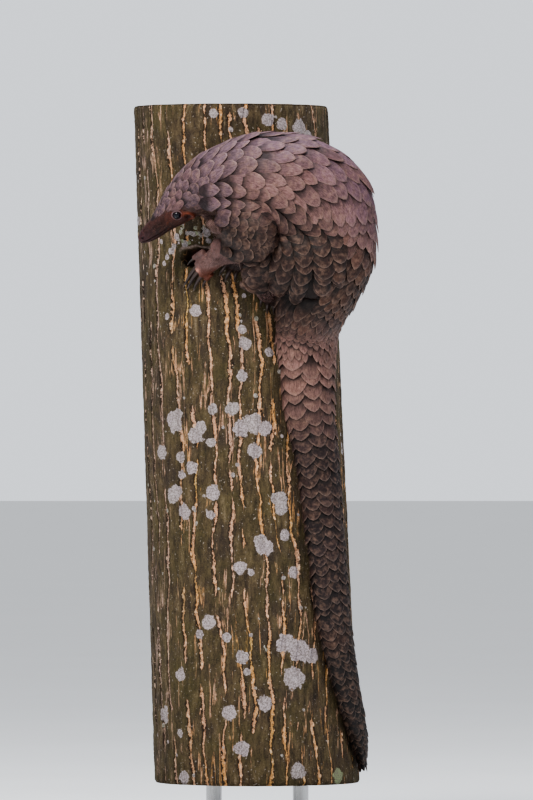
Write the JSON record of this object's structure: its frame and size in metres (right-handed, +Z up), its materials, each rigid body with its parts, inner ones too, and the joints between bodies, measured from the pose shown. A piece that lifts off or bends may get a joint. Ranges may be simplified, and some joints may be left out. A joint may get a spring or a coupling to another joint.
{
  "type": "pangolin",
  "caption": "Life-size model of a tree pangolin clinging side-on to a cut length of trunk, its long scaled tail braced down the bark, on a round base with short rods.",
  "frame": {"origin": "centre of the bounding box's lowest face, in the middle of the base's underside", "axes": "+Z up along the trunk, +Y from the viewer's side to the back of the trunk, +X to the viewer's right; the animal's left flank faces -Y and its head points to -X"},
  "size_m": [0.32, 0.32, 0.74],
  "materials": {
    "scale": "horn scales, satin, worn at their edges",
    "skin": "bare skin of the face, ears, hands and feet, matt",
    "claw": "dark horn, half gloss",
    "eye": "wet black eye, high gloss",
    "bark": "rough bark with fissures",
    "base": "satin paint",
    "rod": "brushed"
  },
  "bodies": {
    "root": {"neck": "scale", "torso": "scale", "rump": "scale", "tail_1": "scale", "tail_2": "scale", "tail_3": "scale", "tail_4": "scale", "thigh_left": "scale", "shank_left": "scale", "arm_left": "scale", "arm_right": "scale", "thigh_right": "scale", "head": "skin", "ear_left": "skin", "ear_right": "skin", "hand_left": "skin", "hand_right": "skin", "foot_left": "skin", "foot_right": "skin", "eye_left": "eye", "eye_right": "eye", "claw_hand_left_1": "claw", "claw_hand_left_2": "claw", "claw_hand_left_3": "claw", "claw_hand_left_4": "claw", "claw_hand_left_5": "claw", "claw_hand_right_1": "claw", "claw_hand_right_2": "claw", "claw_hand_right_3": "claw", "claw_foot_left_1": "claw", "claw_foot_left_2": "claw", "claw_foot_left_3": "claw", "claw_foot_left_4": "claw", "claw_foot_right_1": "claw", "claw_foot_right_2": "claw", "claw_foot_right_3": "claw", "perch_trunk": "bark", "stand_base": "base", "stand_rod_left": "rod", "stand_rod_right": "rod"}
  },
  "joints": []
}
